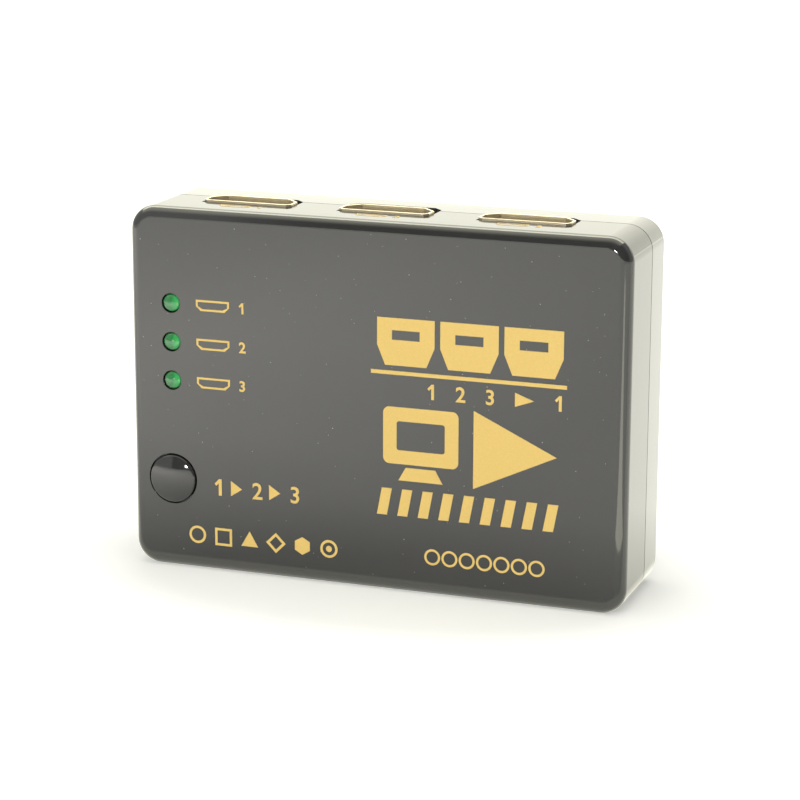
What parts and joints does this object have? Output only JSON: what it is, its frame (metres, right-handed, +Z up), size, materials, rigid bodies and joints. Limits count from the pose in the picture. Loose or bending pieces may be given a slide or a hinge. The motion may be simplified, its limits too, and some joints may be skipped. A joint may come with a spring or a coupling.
{
  "type": "video input selector box",
  "caption": "Small upright selector box: video cable sockets on the top and bottom edges, indicator lights and a push button on the front.",
  "frame": {"origin": "on the resting surface, under the middle of the whole box's bounding box", "axes": "+X along the width, to the right as seen from the front; +Y from the printed front face to the back; +Z up, towards the input sockets"},
  "size_m": [0.0812, 0.0212, 0.0586],
  "materials": {
    "case_plastic": "polished black, hard clear coat",
    "button_plastic": "polished black",
    "lens_green": "cast green epoxy, translucent",
    "socket_shell": "plated sheet, warm nickel",
    "socket_plastic": "moulded black",
    "socket_contacts": "gold flashed",
    "jack_plastic": "moulded black",
    "jack_contacts": "nickel plated",
    "screw_steel": "black zinc",
    "board_laminate": "green solder mask",
    "switch_plastic": "moulded black",
    "plunger_plastic": "moulded red",
    "switch_steel": "plain spring steel",
    "tinned_leads": "tinned",
    "chip_epoxy": "moulded epoxy",
    "can_aluminium": "drawn can",
    "ceramic_tan": "fired, tan",
    "resistor_black": "coated black",
    "crystal_can": "plated lid on a ceramic base"
  },
  "bodies": {
    "case": {"back_cover": "case_plastic", "capacitor_cans": "can_aluminium", "capacitor_feet": "chip_epoxy", "case_screws": "screw_steel", "ceramic_capacitors": "ceramic_tan", "circuit_board": "board_laminate", "controller_chip": "chip_epoxy", "controller_chip_leads": "tinned_leads", "crystal": "crystal_can", "front_cover": "case_plastic", "input_port_1_contacts": "socket_contacts", "input_port_1_insulator": "socket_plastic", "input_port_1_shell": "socket_shell", "input_port_2_contacts": "socket_contacts", "input_port_2_insulator": "socket_plastic", "input_port_2_shell": "socket_shell", "input_port_3_contacts": "socket_contacts", "input_port_3_insulator": "socket_plastic", "input_port_3_shell": "socket_shell", "light_1_leads": "tinned_leads", "light_1_lens": "lens_green", "light_2_leads": "tinned_leads", "light_2_lens": "lens_green", "light_3_leads": "tinned_leads", "light_3_lens": "lens_green", "output_port_contacts": "socket_contacts", "output_port_insulator": "socket_plastic", "output_port_shell": "socket_shell", "power_jack_body": "jack_plastic", "power_jack_pin": "jack_contacts", "power_jack_spring": "jack_contacts", "regulator": "chip_epoxy", "regulator_leads": "tinned_leads", "remote_jack_body": "jack_plastic", "remote_jack_collar": "jack_contacts", "remote_jack_contacts": "jack_contacts", "resistors": "resistor_black", "switch_base": "switch_plastic", "switch_chip": "chip_epoxy", "switch_chip_leads": "tinned_leads", "switch_cover": "switch_steel", "switch_dome": "switch_steel", "switch_terminals": "tinned_leads"},
    "button": {"select_button": "button_plastic", "switch_plunger": "plunger_plastic"}
  },
  "joints": [
    {"name": "button_press", "type": "slide", "parent": "case", "child": "button", "axis": [0, 1, 0], "range_m": [0, 0.0003], "stiffness_N_per_m": 4000, "springref_m": -0.0001, "deforming": ["switch_dome"]}
  ]
}
